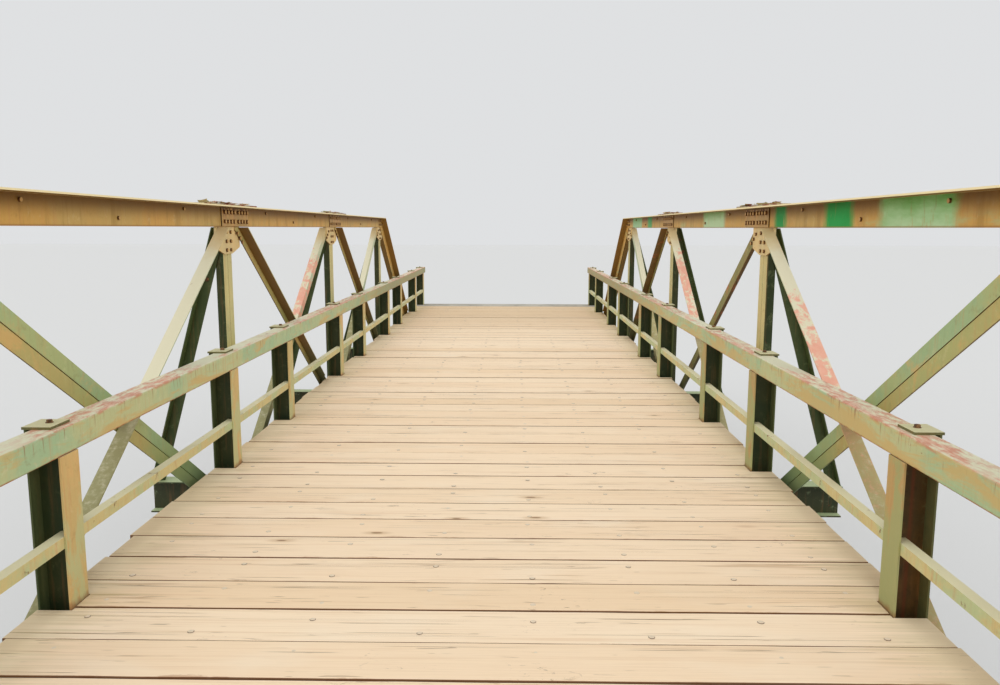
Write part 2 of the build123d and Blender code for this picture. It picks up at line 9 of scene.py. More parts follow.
import bmesh
import bpy
from mathutils import Matrix, Vector


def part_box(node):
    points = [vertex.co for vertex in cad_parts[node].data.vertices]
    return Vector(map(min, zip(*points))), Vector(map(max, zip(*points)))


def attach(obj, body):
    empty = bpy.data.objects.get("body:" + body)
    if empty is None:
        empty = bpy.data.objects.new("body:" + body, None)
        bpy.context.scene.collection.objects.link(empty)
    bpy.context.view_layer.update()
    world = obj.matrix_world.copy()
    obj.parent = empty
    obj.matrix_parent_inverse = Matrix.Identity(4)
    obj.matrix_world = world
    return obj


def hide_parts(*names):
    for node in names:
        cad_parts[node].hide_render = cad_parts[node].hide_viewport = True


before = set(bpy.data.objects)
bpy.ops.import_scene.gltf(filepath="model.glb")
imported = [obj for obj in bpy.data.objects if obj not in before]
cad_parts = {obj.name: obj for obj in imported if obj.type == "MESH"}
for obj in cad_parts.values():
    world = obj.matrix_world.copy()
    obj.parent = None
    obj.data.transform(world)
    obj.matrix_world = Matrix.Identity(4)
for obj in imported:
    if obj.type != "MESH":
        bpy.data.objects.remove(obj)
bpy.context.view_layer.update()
dice = random.Random(7)

# Layout and thicknesses, as in the CAD frame
PANEL = 3.66
INNER_BAYS = 3
SIDES = {"left": -1, "right": 1}
INNER_POINTS = [bay * PANEL for bay in range(-INNER_BAYS, INNER_BAYS + 1)]
POST_BEFORE = 0.655
POST_AFTER = 0.815
TOP_NODE_DROP = 0.051
BOTTOM_NODE_DROP = 0.030
CHORD_SKIN = 0.010
BAR_SKIN = 0.009
VERTICAL_SKIN = 0.009
VERTICAL_HALF_GAP = 0.003
OUTRIGGER_SKIN = 0.009
POST_SKIN = 0.009

# Planes and levels read from the frame
deck_low, deck_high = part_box("deck")
DECK_TOP = deck_high.z
DECK_THICKNESS = deck_high.z - deck_low.z
DECK_HALF_WIDTH = deck_high.x
DECK_HALF_LENGTH = deck_high.y
gusset_low, gusset_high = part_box("right_top_gussets")
GUSSET_FACE, GUSSET_BACK = gusset_low.x, gusset_high.x
chord_low, chord_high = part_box("right_top_chord")
CHORD_BOTTOM, CHORD_TOP = chord_low.z, chord_high.z
post_low, post_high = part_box("right_rail_posts")
POST_FACE, POST_BACK = post_low.x, post_high.x
rail_low, rail_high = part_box("top_rails")
RAIL_BOTTOM, RAIL_TOP = rail_low.z, rail_high.z
RAIL_INNER = rail_high.x - (rail_high.z - rail_low.z)
cap_low, cap_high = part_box("right_post_caps")
SPLICE_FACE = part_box("right_chord_splices")[0].x
TOP_PLATE_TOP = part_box("right_chord_top_plates")[1].z
bottom_low, bottom_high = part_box("right_bottom_chord")
BEAM_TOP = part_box("floor_beams")[1].z

# Levels at which the lines of the bars meet the chords, and a bar's length between them
TOP_NODE = CHORD_TOP - TOP_NODE_DROP
BOTTOM_NODE = bottom_high.z - BOTTOM_NODE_DROP
NODE_HEIGHT = TOP_NODE - BOTTOM_NODE
BAR_LENGTH = math.hypot(PANEL, NODE_HEIGHT)

# The photograph's camera
CAMERA_PLACE = (0.1425, -2.695, DECK_TOP + 1.715)
CAMERA_PITCH = math.radians(8.053)
CAMERA_YAW = math.radians(0.870)
CAMERA_ROLL = math.radians(0.117)
CAMERA_LENS = 29.144
CAMERA_SENSOR = 36
CAMERA_REACH = 500

# Depth of the bump on each kind of surface
PAINT_RELIEF = 0.0015
STEEL_RELIEF = 0.0012
NAIL_RELIEF = 0.0008
PLATE_RELIEF = 0.0020
PLANK_RELIEF = 0.0020
CONCRETE_RELIEF = 0.0040


def srgb(red, green, blue):
    """A colour given as 0 to 255 screen values, as the linear colour that the shader wants."""
    def linear(value):
        value /= 255
        return value / 12.92 if value <= 0.04045 else ((value + 0.055) / 1.055) ** 2.4
    return (linear(red), linear(green), linear(blue), 1)


class Paint:
    """A material under construction: short names for the nodes that the looks below are made of."""

    def __init__(self, name, roughness=0.6, specular=0.35):
        self.material = bpy.data.materials.new(name)
        self.material.use_nodes = True
        self.tree = self.material.node_tree
        self.shader = self.tree.nodes["Principled BSDF"]
        self.shader.inputs["Roughness"].default_value = roughness
        self.shader.inputs["Specular IOR Level"].default_value = specular
        coordinates = self.tree.nodes.new("ShaderNodeTexCoord")
        self.place = coordinates.outputs["Object"]
        self.x, self.y, self.z = self.parts(self.place)
        self.normal = self.parts(coordinates.outputs["Normal"])
        self.shift = None

    def put(self, socket, value):
        """Link what a node gives, or set a value; a colour of three parts is in 0 to 255 screen values."""
        if isinstance(value, bpy.types.NodeSocket):
            self.tree.links.new(value, socket)
        elif socket.type == "RGBA" and len(value) == 3:
            socket.default_value = srgb(*value)
        else:
            socket.default_value = value

    def math(self, operation, *values):
        node = self.tree.nodes.new("ShaderNodeMath")
        node.operation = operation
        for socket, value in zip(node.inputs, values):
            self.put(socket, value)
        return node.outputs[0]

    def plus(self, first, second):
        return self.math("ADD", first, second)

    def minus(self, first, second):
        return self.math("SUBTRACT", first, second)

    def times(self, value, *factors):
        for factor in factors:
            value = self.math("MULTIPLY", value, factor)
        return value

    def size(self, value):
        return self.math("ABSOLUTE", value)

    def parts(self, vector):
        node = self.tree.nodes.new("ShaderNodeSeparateXYZ")
        self.put(node.inputs[0], vector)
        return node.outputs

    def vector(self, x, y, z):
        node = self.tree.nodes.new("ShaderNodeCombineXYZ")
        for socket, value in zip(node.inputs, (x, y, z)):
            self.put(socket, value)
        return node.outputs[0]

    def stretch(self, scale):
        """The place with X, Y and Z each scaled, then shifted where the paint has a shift."""
        node = self.tree.nodes.new("ShaderNodeMapping")
        self.put(node.inputs["Vector"], self.place)
        self.put(node.inputs["Scale"], scale)
        if self.shift is not None:
            self.put(node.inputs["Location"], self.shift)
        return node.outputs[0]

    def noise(self, scale, detail, rough, warp=0.0, zoom=1.0):
        """Clouds whose scale is one number, or one each for X, Y and Z with a zoom of them all."""
        node = self.tree.nodes.new("ShaderNodeTexNoise")
        if isinstance(scale, tuple):
            self.put(node.inputs["Vector"], self.stretch(scale))
            self.put(node.inputs["Scale"], zoom)
        else:
            self.put(node.inputs["Vector"], self.place)
            self.put(node.inputs["Scale"], scale)
        self.put(node.inputs["Detail"], detail)
        self.put(node.inputs["Roughness"], rough)
        self.put(node.inputs["Distortion"], warp)
        return node.outputs["Fac"]

    def random(self, x, y, z):
        node = self.tree.nodes.new("ShaderNodeTexWhiteNoise")
        self.put(node.inputs["Vector"], self.vector(x, y, z))
        return node.outputs["Value"]

    def step(self, value, low, high):
        """0 below low, 1 above high, smooth between; low may be the larger one."""
        node = self.tree.nodes.new("ShaderNodeMapRange")
        node.interpolation_type = "SMOOTHSTEP"
        self.put(node.inputs["Value"], value)
        self.put(node.inputs["From Min"], low)
        self.put(node.inputs["From Max"], high)
        return node.outputs["Result"]

    def band(self, value, low, high, soft):
        """1 between low and high, 0 outside, with soft ends."""
        rise = self.step(value, low - soft, low + soft)
        return self.times(rise, self.step(value, high + soft, high - soft))

    def right(self):
        """1 on the right half of the bridge, 0 on the left half."""
        return self.step(self.x, -0.1, 0.1)

    def facing(self, axis):
        """1 on faces that look along an axis, either way, and 0 on the others."""
        return self.step(self.size(self.normal[axis]), 0.5, 0.8)

    def mix(self, factor, first, second, blend="MIX"):
        node = self.tree.nodes.new("ShaderNodeMix")
        node.data_type = "RGBA"
        node.blend_type = blend
        self.put(node.inputs["Factor"], factor)
        self.put(node.inputs["A"], first)
        self.put(node.inputs["B"], second)
        return node.outputs["Result"]

    def lay(self, colour, tint, amount, *factors):
        """A colour with a tint laid over it, by an amount from 0 to 1 times any factors."""
        return self.mix(self.times(amount, *factors), colour, tint)

    def finish(self, colour, height=None, relief=PAINT_RELIEF):
        """The finished material, with a bump where a height is given."""
        self.put(self.shader.inputs["Base Color"], colour)
        if height is not None:
            bump = self.tree.nodes.new("ShaderNodeBump")
            self.put(bump.inputs["Distance"], relief)
            self.put(bump.inputs["Height"], height)
            self.put(self.shader.inputs["Normal"], bump.outputs["Normal"])
        return self.material


RUST_DARK = (92, 48, 26)
RUST = (158, 84, 44)
RUST_PALE = (206, 140, 92)
GRIME = (0.02, 0.015, 0.01, 1)


def weathered(paint, face, face_alt, top, under, rust, streaks, patch_size):
    """Old paint: two tints in drifting patches, vertical streaks, a paler top of painted light, a darker
    underside of painted shade and rust that breaks through. Returns the colour and the bump's height."""
    up = paint.normal["Z"]
    drift = paint.noise(patch_size, 6.0, 0.68, 0.4)
    streak = paint.noise((38.0, 38.0, 2.2), 3.0, 0.6)
    mottle = paint.noise(13.0, 6.0, 0.72, 0.3)
    fine = paint.noise(90.0, 4.0, 0.7)
    colour = paint.mix(paint.step(drift, 0.42, 0.58), face, face_alt)
    colour = paint.lay(colour, RUST_PALE, paint.step(streak, 0.50, 0.78), streaks)
    colour = paint.lay(colour, under, paint.step(streak, 0.48, 0.22), 0.30 * streaks)
    colour = paint.lay(colour, under, paint.step(mottle, 0.54, 0.74), 0.30)
    colour = paint.lay(colour, top, paint.step(mottle, 0.46, 0.28), 0.40)
    # Painted light and shade: faces turned up take the top colour as if lit from above, faces turned down
    # take the under colour as painted shade
    colour = paint.lay(colour, top, paint.step(up, 0.45, 0.80))
    colour = paint.lay(colour, under, paint.step(up, -0.35, -0.75))
    spots = paint.noise(11.0, 9.0, 0.74, 0.6)
    level = 0.69 - 0.10 * rust
    broken = paint.step(spots, level, level + 0.04)
    colour = paint.lay(colour, paint.mix(fine, RUST_DARK, RUST), broken)
    colour = paint.mix(paint.times(fine, 0.22), colour, GRIME, "SOFT_LIGHT")
    return colour, paint.minus(paint.times(fine, 0.35), paint.times(broken, 0.6))


def plain_paint(name, *values):
    """Old paint with nothing else on it."""
    paint = Paint(name)
    return paint.finish(*weathered(paint, *values))


# The planks' rows along the bridge, the place of one joint, and the lines of nails
BOARD_PITCH = 0.2882
BOARD_GAP = 0.009
BOARD_JOINT = 0.476
NAIL_LINES = (-1.732, -1.237, -0.742, -0.247, 0.247, 0.742, 1.237, 1.732)

# Where the deck is browner towards both ends as painted shade, and where it turns mossy at its sides
DECK_FAR_SHADE = (9.5, 14.0)
DECK_MOSS = (1.95, 2.35)


def deck_material():
    """Bleached planks: each its own tint, grain along X, brown edges, checks, scuffs and mossy ends, with
    painted shade on their sides and towards both ends of the bridge.
    """
    paint = Paint("deck_timber", roughness=0.82, specular=0.2)
    course = paint.math("DIVIDE", paint.minus(paint.y, BOARD_JOINT), BOARD_PITCH)
    board = paint.math("FLOOR", course)
    own = paint.random(board, 3.0, 1.0)
    other = paint.random(board, 7.0, 5.0)
    paint.shift = paint.vector(paint.times(own, 40.0), paint.times(other, 17.0), 0.0)
    grain = paint.noise((0.50, 30.0, 30.0), 5.0, 0.62, 0.35)
    fibre = paint.noise((2.2, 170.0, 90.0), 3.0, 0.6)
    cloud = paint.noise((0.9, 2.0, 1.0), 3.0, 0.5, zoom=1.6)
    colour = paint.mix(own, (250, 223, 189), (255, 232, 201))
    colour = paint.lay(colour, (247, 219, 183), paint.step(other, 0.80, 1.0))
    colour = paint.lay(colour, (222, 182, 140), paint.step(grain, 0.50, 0.74), 0.38)
    colour = paint.lay(colour, (206, 172, 130), paint.step(fibre, 0.45, 0.8), 0.30)
    colour = paint.lay(colour, (255, 238, 212), paint.step(cloud, 0.5, 0.75), 0.40)
    stain = paint.step(paint.noise((0.8, 21.0, 1.0), 2.0, 0.5, 0.2), 0.66, 0.71)
    colour = paint.lay(colour, (186, 146, 102), stain, paint.step(cloud, 0.46, 0.56), 0.45)
    colour = paint.lay(colour, (170, 122, 84), worn_edges(paint, course), 0.50)
    colour = add_knots(paint, colour, board)
    scuff = paint.step(paint.noise((11.0, 30.0, 1.0), 6.0, 0.75, 1.4), 0.58, 0.66)
    colour = paint.lay(colour, (120, 92, 62), scuff, paint.step(cloud, 0.42, 0.34), 0.6)
    crack = cracks(paint, cloud)
    colour = paint.lay(colour, (112, 80, 50), crack, 0.70)
    # Painted shade: planks browner towards both ends of the bridge
    colour = paint.lay(colour, (200, 170, 128), paint.step(paint.size(paint.y), *DECK_FAR_SHADE), 0.55)
    end = paint.plus(paint.size(paint.x), paint.times(grain, 0.80))
    colour = paint.lay(colour, (190, 178, 130), paint.step(end, *DECK_MOSS), 0.45)
    # Painted shade: the planks' sides and undersides dark brown, as seen in the gaps between planks
    side = paint.step(paint.normal["Z"], 0.8, 0.4)
    colour = paint.lay(colour, (116, 70, 34), side, 0.88)
    relief = paint.plus(paint.minus(paint.times(grain, 0.6), crack), paint.times(fibre, 0.4))
    return paint.finish(colour, relief, PLANK_RELIEF)


def worn_edges(paint, course):
    """A ragged strip along both edges of each plank."""
    across = paint.math("FRACT", course)
    rim = paint.times(paint.math("MINIMUM", across, paint.minus(1.0, across)), BOARD_PITCH)
    ragged = paint.step(paint.noise((2.4, 9.0, 1.0), 6.0, 0.70), 0.50, 0.80)
    reach = paint.times(ragged, 0.034)
    return paint.step(rim, paint.plus(reach, 0.007), paint.times(reach, 0.60))


def cracks(paint, cloud):
    """Long thin checks along the grain, and short fainter nicks."""
    check = paint.band(paint.noise((0.32, 58.0, 1.0), 1.0, 0.4, 0.25), 0.655, 0.668, 0.005)
    nick = paint.step(paint.noise((4.5, 70.0, 1.0), 2.0, 0.5, 0.5), 0.70, 0.74)
    return paint.math("MAXIMUM", paint.times(check, paint.step(cloud, 0.40, 0.52)), paint.times(nick, 0.6))


def add_knots(paint, colour, board):
    """Round knots with a paler ring, on about half of the planks."""
    knots = paint.tree.nodes.new("ShaderNodeTexVoronoi")
    paint.put(knots.inputs["Vector"], paint.stretch((1.1, 3.4, 1.0)))
    paint.put(knots.inputs["Scale"], 1.3)
    distance = knots.outputs["Distance"]
    has_knots = paint.step(paint.random(board, 1.0, 9.0), 0.45, 0.50)
    colour = paint.lay(colour, (190, 150, 104), paint.step(distance, 0.16, 0.05), has_knots, 0.40)
    return paint.lay(colour, (124, 88, 54), paint.step(distance, 0.060, 0.034), has_knots, 0.70)


# Where the rails' sides take painted shade, darker towards both ends of the bridge, and where their tops are
# more worn across it
RAIL_FAR_SHADE = (5.5, 11.0)
RAIL_WORN = (RAIL_INNER + 0.085, RAIL_INNER + 0.020)


def rail_material():
    """Square rail tube: mint and tan sides with drips and painted shade towards both ends, a worn pink top,
    rust along both edges.
    """
    paint = Paint("rail_paint", roughness=0.55)
    colour, height = weathered(
        paint, (172, 200, 160), (196, 202, 154), (222, 220, 190), (120, 88, 50),
        rust=0.25, streaks=0.30, patch_size=1.1)
    sideways = paint.facing("X")
    tan = paint.noise((7.0, 1.3, 7.0), 6.0, 0.72, 0.6)
    tan = paint.plus(tan, paint.times(paint.minus(paint.right(), 0.35), 0.09))
    tan = paint.plus(tan, paint.times(paint.step(paint.z, RAIL_TOP - 0.010, RAIL_BOTTOM + 0.030), 0.05))
    colour = paint.lay(colour, (206, 176, 112), paint.step(tan, 0.50, 0.64), sideways, 0.80)
    # Painted shade: the rails' sides darker towards both ends of the bridge
    colour = paint.lay(colour, (150, 134, 80), paint.step(paint.size(paint.y), *RAIL_FAR_SHADE), sideways, 0.70)
    upward = paint.step(paint.normal["Z"], 0.3, 0.7)
    colour = paint.lay(colour, (220, 154, 128), upward, worn_top(paint), 0.75)
    ragged = paint.noise((30.0, 9.0, 30.0), 6.0, 0.72)
    stretches = paint.noise((0.1, 0.8, 0.1), 2.0, 0.5)
    edge = paint.times(paint.step(stretches, 0.42, 0.52), paint.step(ragged, 0.43, 0.60))
    high = paint.step(paint.z, RAIL_TOP - 0.022, RAIL_TOP - 0.006)
    colour = paint.lay(colour, (200, 124, 96), edge, high, 0.80)
    drip = paint.step(paint.noise((1.0, 46.0, 3.0), 3.0, 0.6), 0.58, 0.66)
    hang = paint.step(paint.z, RAIL_BOTTOM + 0.045, RAIL_TOP - 0.015)
    colour = paint.lay(colour, (142, 78, 48), drip, hang, sideways, 0.60)
    foot = paint.step(paint.z, RAIL_BOTTOM + 0.014, RAIL_BOTTOM + 0.003)
    colour = paint.lay(colour, (172, 92, 50), foot, paint.step(ragged, 0.42, 0.55))
    return paint.finish(colour, height)


def worn_top(paint):
    """Blotches worn through the paint, more at the rail's inner edge and in some stretches of it."""
    worn = paint.noise((16.0, 3.6, 16.0), 7.0, 0.74)
    reach = paint.noise((0.1, 0.9, 0.1), 2.0, 0.5)
    worn = paint.plus(worn, paint.times(paint.step(reach, 0.35, 0.65), 0.06))
    worn = paint.plus(worn, paint.times(paint.step(paint.size(paint.x), *RAIL_WORN), 0.09))
    return paint.step(worn, 0.58, 0.72)


# Where along the bridge the right railing's posts change from rusty webs to dark green ones
RUSTY_WEBS = (1.6, 1.0)

# A post's middle, and where the colours of its flanges start and end
POST_MIDDLE = (POST_FACE + POST_BACK) / 2
POST_FLANGE_FRONT = (POST_FACE + POST_SKIN + 0.0005, POST_FACE + POST_SKIN - 0.0015)
POST_FLANGE_BACK = (POST_BACK - POST_SKIN - 0.003, POST_BACK - POST_SKIN + 0.001)


def post_material():
    """Railing posts: ochre and mint on the face towards the walkway, dark green or rusty brown webs."""
    paint = Paint("post_paint")
    out = paint.size(paint.x)
    right = paint.right()
    rusty = paint.times(paint.step(paint.y, *RUSTY_WEBS), right)
    web = paint.mix(rusty, (48, 64, 34), (112, 80, 36))
    web_alt = paint.mix(rusty, (60, 68, 34), (86, 66, 32))
    colour, height = weathered(
        paint, web, web_alt, (120, 124, 84), (30, 28, 16),
        rust=0.30, streaks=0.15, patch_size=2.4)
    run = paint.noise((30.0, 6.0, 0.8), 4.0, 0.6)
    centre = paint.math("MULTIPLY_ADD", run, 0.04, out)
    centre = paint.band(centre, POST_MIDDLE + 0.012, POST_MIDDLE + 0.030, 0.008)
    colour = paint.lay(colour, (124, 60, 30), centre, rusty, 0.6)
    outer = paint.mix(right, (64, 78, 44), (92, 100, 56))
    outer = paint.lay(outer, (104, 112, 72), paint.step(run, 0.42, 0.62))
    colour = paint.lay(colour, outer, paint.step(out, *POST_FLANGE_BACK), 0.75)
    colour = paint.lay(colour, post_face(paint, right), paint.step(out, *POST_FLANGE_FRONT))
    return paint.finish(colour, height)


def post_face(paint, right):
    """The flange towards the walkway: ochre, with mint patches that grow downwards and a rusty foot."""
    patches = paint.noise((9.0, 9.0, 3.2), 6.0, 0.68, 0.4)
    mint = paint.plus(patches, paint.times(paint.step(paint.z, RAIL_BOTTOM - 0.05, DECK_TOP + 0.30), 0.16))
    mint = paint.plus(mint, paint.times(right, 0.06))
    colour, _ = weathered(
        paint, (222, 188, 126), (210, 186, 126), (224, 206, 162), (150, 100, 54),
        rust=0.25, streaks=0.45, patch_size=1.4)
    colour = paint.lay(colour, (138, 114, 68), right, 0.42)
    pale = paint.mix(right, (190, 198, 148), (160, 172, 118))
    colour = paint.lay(colour, pale, paint.step(mint, 0.55, 0.68), 0.75)
    foot = paint.plus(paint.z, paint.times(patches, 0.10))
    foot = paint.step(foot, DECK_TOP + 0.085, DECK_TOP + 0.045)
    return paint.lay(colour, (150, 92, 52), foot, 0.7)


# Patches of newer paint along the right top chord, as (start, end, upper colour, lower colour)
OVERPAINT = (
    (0.90, 1.64, (108, 176, 84), (184, 218, 170)),
    (1.99, 2.40, (0, 138, 38), (0, 164, 72)),
    (3.13, 3.36, (0, 130, 40), (10, 154, 70)),
    (4.80, 5.62, (134, 182, 114), (186, 216, 170)),
    (8.69, 9.02, (44, 146, 66), (92, 170, 98)),
    (9.56, 10.46, (128, 184, 118), (158, 202, 152)),
)
OVERPAINT_SOFT = 0.06
OVERPAINT_RAGGED = 0.16


def chord_material():
    """Top chord: ochre face, painted shade in brown under the lateral leg, blotched and streaked, toes pale
    with a painted highlight.
    """
    paint = Paint("chord_paint")
    colour, height = weathered(
        paint, (214, 170, 88), (204, 172, 100), (226, 210, 158), (146, 112, 50),
        rust=0.25, streaks=0.35, patch_size=0.9)
    sideways = paint.facing("X")
    moss = paint.noise((2.0, 1.6, 6.0), 5.0, 0.65)
    low = paint.step(paint.z, CHORD_BOTTOM + 0.09, CHORD_BOTTOM + 0.03)
    colour = paint.lay(colour, (184, 188, 130), paint.step(moss, 0.56, 0.68), low, sideways, 0.75)
    run = paint.noise((9.0, 9.0, 1.2), 5.0, 0.68)
    colour = paint.lay(colour, (158, 124, 54), paint.step(run, 0.50, 0.66), sideways, 0.50)
    # Painted shade: the top of each side darkened under the lateral leg
    corner_shade = paint.step(paint.z, CHORD_TOP - 0.140, CHORD_TOP - 0.020)
    colour = paint.lay(colour, (112, 78, 20), corner_shade, sideways, 0.88)
    colour = add_overpaint(paint, colour, moss, sideways)
    foot = paint.band(paint.z, CHORD_BOTTOM - 0.002, CHORD_BOTTOM + 0.008, 0.003)
    colour = paint.lay(colour, (150, 100, 50), foot, sideways, 0.6)
    # Painted highlight: a near-white line on the lateral leg's toe edge
    toe_highlight = paint.step(paint.z, CHORD_TOP - CHORD_SKIN - 0.002, CHORD_TOP - CHORD_SKIN + 0.001)
    colour = paint.lay(colour, (252, 238, 190), toe_highlight, sideways)
    return paint.finish(colour, height)


def add_overpaint(paint, colour, moss, sideways):
    """Patches of green paint on the right chord's sides, with ragged ends and worn spots."""
    ragged = paint.noise((3.0, 9.0, 5.0), 5.0, 0.7)
    along = paint.plus(paint.y, paint.times(paint.minus(ragged, 0.5), OVERPAINT_RAGGED))
    solid = paint.step(paint.noise((14.0, 14.0, 3.0), 5.0, 0.7), 0.22, 0.46)
    solid = paint.times(solid, sideways, paint.right())
    up = paint.step(paint.z, CHORD_BOTTOM, CHORD_TOP)
    shade = paint.math("MULTIPLY_ADD", paint.minus(moss, 0.5), 2.4, up)
    for start, end, upper, lower in OVERPAINT:
        patch = paint.band(along, start, end, OVERPAINT_SOFT)
        colour = paint.lay(colour, paint.mix(shade, lower, upper), patch, solid)
    return colour


def vertical_material():
    """Verticals: cream on the flanges towards the walkway, dark green as painted shade on the stems and
    behind.
    """
    paint = Paint("vertical_paint")
    right = paint.right()
    face = paint.mix(right, (216, 204, 142), (214, 198, 138))
    face_alt = paint.mix(right, (206, 198, 142), (200, 192, 136))
    cream, height = weathered(
        paint, face, face_alt, (220, 212, 164), (120, 94, 50),
        rust=0.15, streaks=0.30, patch_size=1.2)
    green, _ = weathered(
        paint, (58, 72, 34), (70, 74, 38), (150, 160, 112), (34, 38, 20),
        rust=0.30, streaks=0.20, patch_size=1.5)
    # Painted shade: every face not turned to the walkway takes the dark green
    side = paint.math("SIGN", paint.x)
    inward = paint.times(paint.normal["X"], side, -1.0)
    return paint.finish(paint.mix(paint.step(inward, 0.4, 0.7), green, cream), height)


# Levels between which the bars take on the colour of their head or foot
RISING_HEAD = (4.10, 4.30)
RISING_FOOT = (3.30, 3.00)
DOUBLE_FOOT = (3.15, 2.80)
FALLING_FOOT = (3.10, 2.70)

# Rising bars worn to salmon, as (start, end, softness) along the bridge
SALMON_BOTH = (5.55, 6.75, 0.30)
SALMON_RIGHT = (-1.0, 2.95, 0.45)


def double_material():
    """Double diagonals: mottled mint and tan, the upper angle greener, both greener at their foot."""
    paint = Paint("double_diagonal_paint")
    over = paint.minus(paint.z, TOP_NODE)
    over = paint.math("MULTIPLY_ADD", paint.size(paint.y), NODE_HEIGHT / PANEL, over)
    upper = paint.step(over, -0.002, 0.002)
    face = paint.mix(upper, (192, 180, 116), (180, 192, 136))
    face_alt = paint.mix(upper, (182, 184, 122), (166, 192, 146))
    colour, height = weathered(
        paint, face, face_alt, (212, 208, 160), (128, 104, 54),
        rust=0.30, streaks=0.30, patch_size=1.4)
    tan = paint.noise(3.2, 6.0, 0.66, 0.5)
    colour = paint.lay(colour, (218, 178, 112), paint.step(tan, 0.52, 0.66), 0.70)
    foot = paint.plus(paint.z, paint.times(paint.noise(2.5, 3.0, 0.6), 0.35))
    colour = paint.lay(colour, (132, 156, 106), paint.step(foot, *DOUBLE_FOOT), 0.85)
    return paint.finish(colour, height)


def rising_material():
    """Rising bars: pale mint, tan at the head, worn salmon patches on some, a mottled olive foot."""
    paint = Paint("rising_diagonal_paint")
    right = paint.right()
    colour, height = weathered(
        paint, (208, 210, 176), (190, 204, 174), (230, 224, 194), (132, 112, 66),
        rust=0.30, streaks=0.20, patch_size=1.6)
    head = paint.plus(paint.z, paint.times(paint.noise(4.0, 5.0, 0.65), 0.30))
    colour = paint.lay(colour, (212, 180, 118), paint.step(head, *RISING_HEAD), 0.7)
    some = paint.times(paint.band(paint.y, *SALMON_RIGHT), right)
    some = paint.math("MAXIMUM", some, paint.band(paint.size(paint.y), *SALMON_BOTH))
    worn = paint.noise((9.0, 7.0, 7.0), 7.0, 0.74, 0.4)
    worn = paint.step(paint.math("MULTIPLY_ADD", some, 0.34, worn), 0.76, 0.86)
    salmon = paint.mix(paint.noise(16.0, 5.0, 0.7), (226, 140, 116), (246, 190, 164))
    colour = paint.lay(colour, salmon, worn, 0.9)
    mottle = paint.step(paint.noise(24.0, 6.0, 0.72), 0.15, 0.55)
    olive = paint.mix(right, (146, 142, 90), (180, 168, 110))
    colour = paint.lay(colour, olive, paint.step(paint.z, *RISING_FOOT), mottle, 0.88)
    return paint.finish(colour, height)


def falling_material():
    """Falling bars: the diagonals' one paint made browner as painted shade, tan on the left, olive with
    orange rust on the right, a brown underside of painted shade, a dark foot.
    """
    paint = Paint("falling_diagonal_paint")
    right = paint.right()
    # Painted shade: face colours browner than the rising bars, which carry the same paint
    face = paint.mix(right, (200, 176, 112), (152, 142, 82))
    face_alt = paint.mix(right, (184, 176, 112), (132, 132, 76))
    colour, height = weathered(
        paint, face, face_alt, (214, 200, 150), (122, 90, 38),
        rust=0.35, streaks=0.25, patch_size=1.3)
    patch = paint.noise((2.0, 3.4, 3.4), 6.0, 0.68)
    colour = paint.lay(colour, (180, 104, 58), paint.step(patch, 0.55, 0.64), right, 0.8)
    foot = paint.step(paint.z, *FALLING_FOOT)
    colour = paint.lay(colour, (84, 88, 48), foot, 0.8)
    return paint.finish(colour, height)


def outrigger_material():
    """Outriggers: dark green with a paler outer leg."""
    paint = Paint("outrigger_paint")
    colour, height = weathered(
        paint, (66, 80, 38), (78, 90, 50), (132, 146, 100), (30, 38, 20),
        rust=0.30, streaks=0.15, patch_size=1.3)
    colour = paint.lay(colour, (104, 120, 72), paint.facing("X"), 0.6)
    return paint.finish(colour, height)


FORM_BOARD = 0.60


def concrete_material():
    """Weathered concrete with form lines, stains that run down, and small holes."""
    paint = Paint("concrete", roughness=0.9, specular=0.2)
    cloud = paint.noise(1.3, 5.0, 0.6)
    fine = paint.noise(55.0, 5.0, 0.7)
    streak = paint.noise((7.0, 7.0, 0.5), 4.0, 0.6)
    colour = paint.mix(paint.step(cloud, 0.35, 0.65), (196, 190, 176), (172, 167, 154))
    colour = paint.lay(colour, (104, 98, 82), paint.step(streak, 0.5, 0.75), 0.5)
    colour = paint.lay(colour, (120, 116, 106), fine, 0.25)
    board = paint.math("DIVIDE", paint.z, FORM_BOARD)
    line = paint.band(paint.math("FRACT", board), 0.0, 0.012, 0.006)
    colour = paint.lay(colour, (96, 92, 82), line, 0.5)
    pits = paint.step(paint.noise(26.0, 2.0, 0.5), 0.70, 0.76)
    return paint.finish(colour, paint.minus(fine, paint.plus(pits, line)), CONCRETE_RELIEF)


def splice_material():
    """Splice plates: the chord's ochre, rust running down from the top, and ends darkened as painted shade.
    """
    paint = Paint("splice_paint")
    colour, height = weathered(
        paint, (204, 164, 98), (188, 154, 94), (222, 206, 156), (98, 62, 34),
        rust=0.55, streaks=0.7, patch_size=3.0)
    run = paint.step(paint.noise((1.0, 44.0, 4.0), 4.0, 0.6), 0.42, 0.58)
    high = paint.step(paint.z, CHORD_BOTTOM + 0.05, CHORD_BOTTOM + 0.13)
    colour = paint.lay(colour, (98, 58, 28), high, run)
    # Painted shade: the plates' ends, facing along the bridge, made dark
    colour = paint.lay(colour, (62, 40, 18), paint.facing("Y"))
    return paint.finish(colour, height, PLATE_RELIEF)


def flake_material():
    """Warped scales of paint and rust: bleached or salmon above, pale or rusty beneath, in patches."""
    paint = Paint("flake_rust", roughness=0.8)
    patch = paint.noise(7.0, 6.0, 0.7, 0.5)
    fine = paint.noise(80.0, 4.0, 0.7)
    bare = paint.mix(paint.step(patch, 0.44, 0.60), (228, 222, 188), (206, 144, 110))
    rust = paint.mix(fine, RUST, RUST_PALE)
    beneath = paint.mix(paint.step(patch, 0.48, 0.56), (206, 200, 160), rust)
    upward = paint.step(paint.normal["Z"], -0.2, 0.3)
    return paint.finish(paint.mix(upward, beneath, bare), fine, PLATE_RELIEF)


